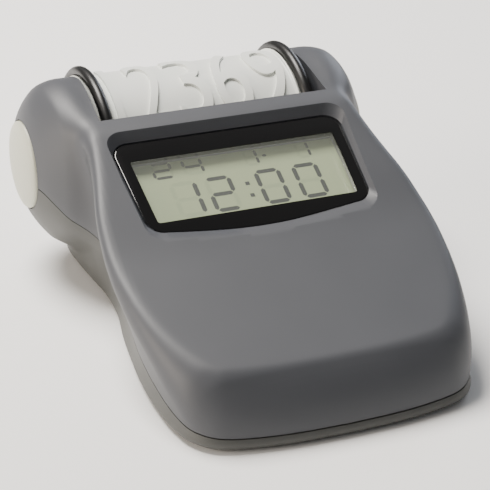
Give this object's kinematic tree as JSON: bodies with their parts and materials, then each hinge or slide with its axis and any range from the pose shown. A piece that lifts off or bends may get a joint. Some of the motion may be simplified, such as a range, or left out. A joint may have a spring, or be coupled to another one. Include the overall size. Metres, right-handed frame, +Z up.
{
  "type": "desk alarm clock",
  "caption": "Desk alarm clock with a tilted liquid-crystal display, a finger roller with rubber rings across its back, side buttons and a battery door.",
  "frame": {"origin": "middle of the clock's footprint, on the table it stands on", "axes": "+X to the clock's right, +Y to the back where the roller is, +Z up; the display and the nose face -Y"},
  "size_m": [0.0996, 0.1362, 0.0567],
  "materials": {
    "upper_case": "soft satin grey, fine spark texture",
    "lower_case": "soft satin grey, fine spark texture",
    "end_cap_left": "satin off-white",
    "end_cap_right": "satin off-white",
    "bush_left": "plain white moulding",
    "bush_right": "plain white moulding",
    "encoder_board": "green lacquered circuit board",
    "encoder_sensor": "plain black moulding",
    "click_spring": "bright plated steel",
    "window_lens": "polished clear plastic with a black printed border",
    "display_glass": "polished liquid-crystal glass",
    "display_frame": "plain white moulding",
    "contact_strip_front": "layered conductive rubber",
    "contact_strip_rear": "layered conductive rubber",
    "main_board": "green lacquered circuit board",
    "driver_chip": "cast black resin",
    "quartz_crystal": "bright plated steel",
    "board_screw_1": "plated steel",
    "board_screw_2": "plated steel",
    "switch_left": "plain black moulding",
    "switch_board_left": "green lacquered circuit board",
    "switch_right": "plain black moulding",
    "switch_board_right": "green lacquered circuit board",
    "cell_1": "glossy printed sleeve",
    "cell_2": "glossy printed sleeve",
    "cell_spring_1": "bright plated steel",
    "cell_spring_2": "bright plated steel",
    "bridge_contact": "bright plated steel",
    "plus_contact": "bright plated steel",
    "minus_contact": "bright plated steel",
    "sounder": "plain black moulding",
    "battery_lead_red": "wire insulation",
    "battery_lead_black": "wire insulation",
    "sounder_lead_red": "wire insulation",
    "sounder_lead_black": "wire insulation",
    "case_screw_1": "plated steel",
    "case_screw_2": "plated steel",
    "case_screw_3": "plated steel",
    "case_screw_4": "plated steel",
    "foot_1": "matt rubber",
    "foot_2": "matt rubber",
    "foot_3": "matt rubber",
    "foot_4": "matt rubber",
    "roller_drum": "satin off-white",
    "ring_left": "semi-gloss moulded rubber",
    "ring_right": "semi-gloss moulded rubber",
    "axle": "bright plated steel",
    "encoder_wheel": "plain black moulding",
    "side_button_left": "soft satin grey, fine spark texture",
    "side_button_right": "soft satin grey, fine spark texture",
    "battery_door": "soft satin grey, fine spark texture"
  },
  "bodies": {
    "case": {"upper_case": "upper_case", "lower_case": "lower_case", "end_cap_left": "end_cap_left", "end_cap_right": "end_cap_right", "bush_left": "bush_left", "bush_right": "bush_right", "encoder_board": "encoder_board", "encoder_sensor": "encoder_sensor", "click_spring": "click_spring", "window_lens": "window_lens", "display_glass": "display_glass", "display_frame": "display_frame", "contact_strip_front": "contact_strip_front", "contact_strip_rear": "contact_strip_rear", "main_board": "main_board", "driver_chip": "driver_chip", "quartz_crystal": "quartz_crystal", "board_screw_1": "board_screw_1", "board_screw_2": "board_screw_2", "switch_left": "switch_left", "switch_board_left": "switch_board_left", "switch_right": "switch_right", "switch_board_right": "switch_board_right", "cell_1": "cell_1", "cell_2": "cell_2", "cell_spring_1": "cell_spring_1", "cell_spring_2": "cell_spring_2", "bridge_contact": "bridge_contact", "plus_contact": "plus_contact", "minus_contact": "minus_contact", "sounder": "sounder", "battery_lead_red": "battery_lead_red", "battery_lead_black": "battery_lead_black", "sounder_lead_red": "sounder_lead_red", "sounder_lead_black": "sounder_lead_black", "case_screw_1": "case_screw_1", "case_screw_2": "case_screw_2", "case_screw_3": "case_screw_3", "case_screw_4": "case_screw_4", "foot_1": "foot_1", "foot_2": "foot_2", "foot_3": "foot_3", "foot_4": "foot_4"},
    "roller": {"roller_drum": "roller_drum", "ring_left": "ring_left", "ring_right": "ring_right", "axle": "axle", "encoder_wheel": "encoder_wheel"},
    "left_button": {"side_button_left": "side_button_left"},
    "right_button": {"side_button_right": "side_button_right"},
    "door": {"battery_door": "battery_door"}
  },
  "joints": [
    {"name": "roller_spin", "type": "hinge", "parent": "case", "child": "roller", "pos_m": [0, 0.04343, 0.032], "axis": [1, 0, 0], "continuous": true},
    {"name": "left_button_press", "type": "slide", "parent": "case", "child": "left_button", "axis": [0.9019, -0.3324, 0.276], "range_m": [0, 0.0005], "stiffness_N_per_m": 600, "springref_m": -0.0006},
    {"name": "right_button_press", "type": "slide", "parent": "case", "child": "right_button", "axis": [-0.9019, -0.3324, 0.276], "range_m": [0, 0.0005], "stiffness_N_per_m": 600, "springref_m": -0.0006},
    {"name": "battery_door_hinge", "type": "hinge", "parent": "case", "child": "door", "pos_m": [0, -0.01507, 0.0008], "axis": [1, 0, 0], "range_deg": [0, 80]}
  ]
}
